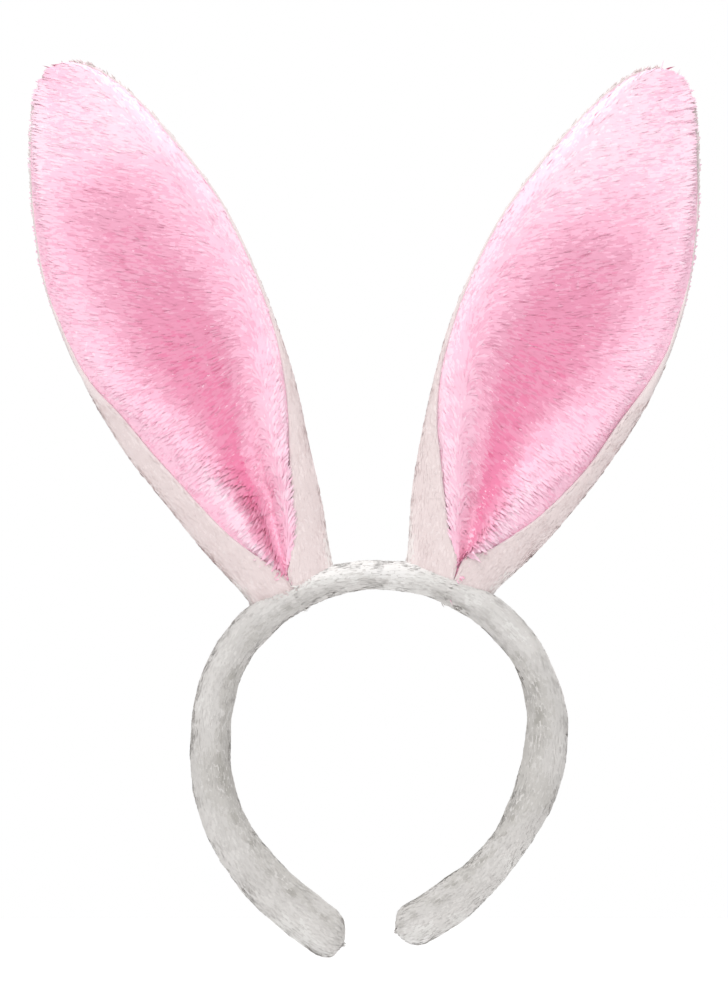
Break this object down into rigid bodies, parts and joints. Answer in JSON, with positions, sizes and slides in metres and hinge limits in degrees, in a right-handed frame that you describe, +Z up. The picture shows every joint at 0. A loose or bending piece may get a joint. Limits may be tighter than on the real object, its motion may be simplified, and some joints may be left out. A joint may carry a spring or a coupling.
{
  "type": "animal ears headband",
  "caption": "Plush covered springy headband with two long bendable rabbit style ears, white outside and pink inside, open at the bottom to clip over a head.",
  "frame": {"origin": "middle of the inner face of the band at the crown, where it rests on the head", "axes": "+Z up out of the head, +Y to the back of the head, +X to the right of a viewer in front (the left of the wearer)"},
  "size_m": [0.2532, 0.0235, 0.3401],
  "materials": {
    "white_plush": "short white pile",
    "pink_plush": "longer pale pink pile",
    "wadding": "soft polyester wadding",
    "foam": "soft foam strip",
    "thread": "sewing thread",
    "plastic_strip": "springy moulded strip",
    "ear_wire": "bendable steel wire"
  },
  "bodies": {
    "crown": {"sleeve_crown": "white_plush", "band_foam_crown": "foam", "band_core_crown": "plastic_strip", "sleeve_seam_crown": "thread", "left_ear_root": "white_plush", "right_ear_root": "white_plush", "left_ear_front_stitch": "thread", "left_ear_back_stitch": "thread", "right_ear_front_stitch": "thread", "right_ear_back_stitch": "thread"},
    "left_arm": {"left_sleeve": "white_plush", "left_band_foam": "foam", "left_band_core": "plastic_strip", "left_sleeve_seam": "thread", "left_tip_stitch": "thread"},
    "right_arm": {"right_sleeve": "white_plush", "right_band_foam": "foam", "right_band_core": "plastic_strip", "right_sleeve_seam": "thread", "right_tip_stitch": "thread"},
    "left_ear": {"left_ear_back": "white_plush", "left_ear_inner": "pink_plush", "left_ear_wadding": "wadding", "left_ear_wire": "ear_wire", "left_ear_edge_seam": "thread"},
    "right_ear": {"right_ear_back": "white_plush", "right_ear_inner": "pink_plush", "right_ear_wadding": "wadding", "right_ear_wire": "ear_wire", "right_ear_edge_seam": "thread"}
  },
  "joints": [
    {"name": "left_arm_flex", "type": "hinge", "parent": "crown", "child": "left_arm", "pos_m": [-0.04973, 0, -0.0155], "axis": [0, 1, 0], "range_deg": [-3, 16], "stiffness_Nm_per_rad": 0.7},
    {"name": "right_arm_flex", "type": "hinge", "parent": "crown", "child": "right_arm", "pos_m": [0.04973, 0, -0.0155], "axis": [0, -1, 0], "range_deg": [-3, 16], "stiffness_Nm_per_rad": 0.7},
    {"name": "left_ear_tilt", "type": "hinge", "parent": "crown", "child": "left_ear", "pos_m": [-0.0349, 0, 0.0056], "axis": [0.9128, 0, 0.4083], "range_deg": [-45, 45]},
    {"name": "right_ear_tilt", "type": "hinge", "parent": "crown", "child": "right_ear", "pos_m": [0.0271, 0, 0.0068], "axis": [0.9171, 0, -0.3987], "range_deg": [-45, 45]}
  ]
}
